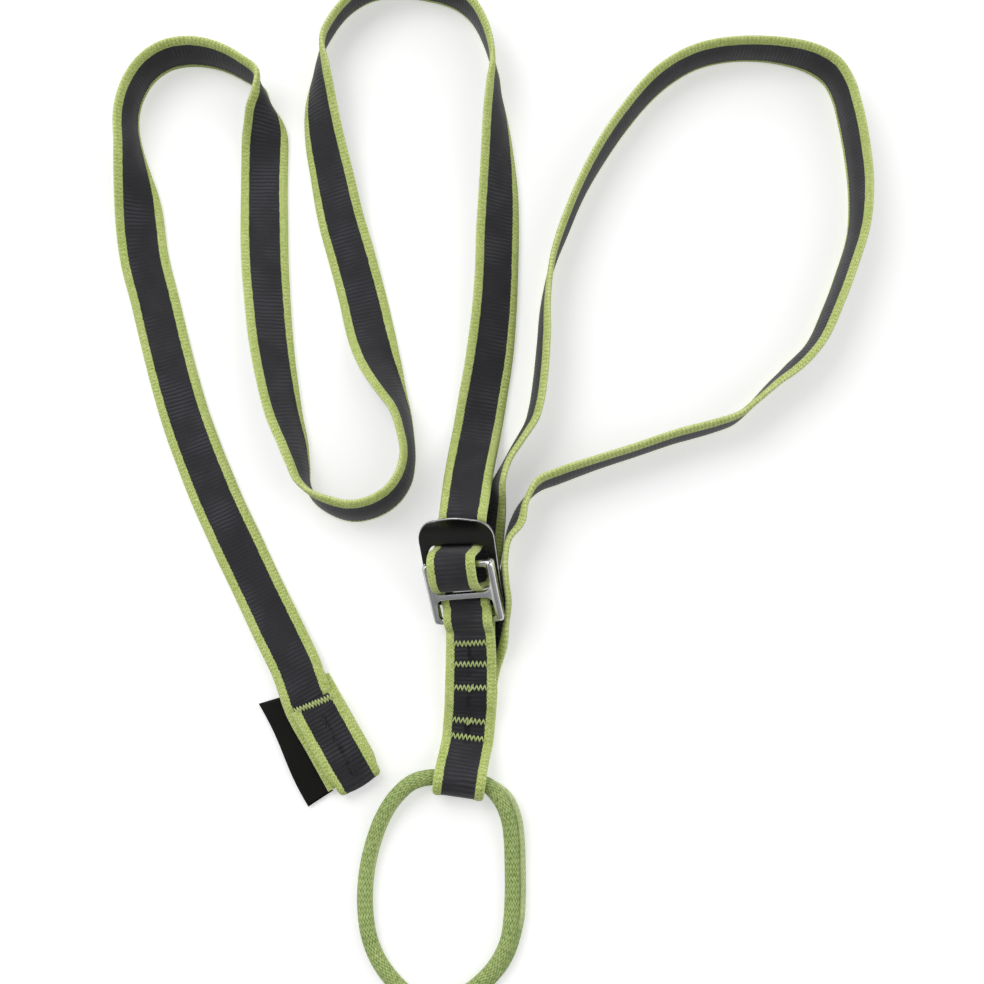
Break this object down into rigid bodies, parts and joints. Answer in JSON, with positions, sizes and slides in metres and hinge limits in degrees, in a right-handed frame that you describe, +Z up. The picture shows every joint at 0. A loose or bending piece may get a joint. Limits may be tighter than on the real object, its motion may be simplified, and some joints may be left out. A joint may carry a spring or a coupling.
{
  "type": "climbing foot sling",
  "caption": "Adjustable foot sling of woven webbing, lying flat: a sewn part with a two-piece metal buckle and a sewn ring, a foot loop, and a long free tail with a sewn end.",
  "frame": {"origin": "middle of the part's bounding box on the table plane", "axes": "+Z up, +X towards the foot loop's side, +Y from the ring towards the far bends of the webbing"},
  "size_m": [0.3089, 0.4136, 0.0293],
  "materials": {
    "green_webbing": "matte",
    "ring_fabric": "matte",
    "thread": "matte",
    "dark_thread": "matte",
    "label_satin": "satin",
    "black_anodised_metal": "gloss",
    "polished_metal": "polished"
  },
  "bodies": {
    "sling": {"sewn_webbing": "green_webbing", "foot_loop_webbing": "green_webbing", "tail_webbing": "green_webbing", "tail_end_cap": "green_webbing", "tail_label": "label_satin", "end_seam": "thread", "centre_seam": "dark_thread", "bar_tack_1": "thread", "bar_tack_2": "thread", "bar_tack_3": "thread", "bar_tack_4": "thread", "bar_tack_5": "thread", "buckle_frame": "polished_metal"},
    "plate": {"buckle_plate": "black_anodised_metal"},
    "ring": {"ring_tape": "ring_fabric", "ring_lap": "ring_fabric"}
  },
  "joints": [
    {"name": "plate_pivot", "type": "hinge", "parent": "sling", "child": "plate", "pos_m": [-0.0087, -0.0561, 0.0089], "axis": [0.956, -0.025, 0.2924], "range_deg": [0, 10]},
    {"name": "ring_pivot", "type": "hinge", "parent": "sling", "child": "ring", "pos_m": [-0.0097, -0.1239, 0.006], "axis": [-0.9903, 0.1392, 0], "range_deg": [0, 150]}
  ]
}
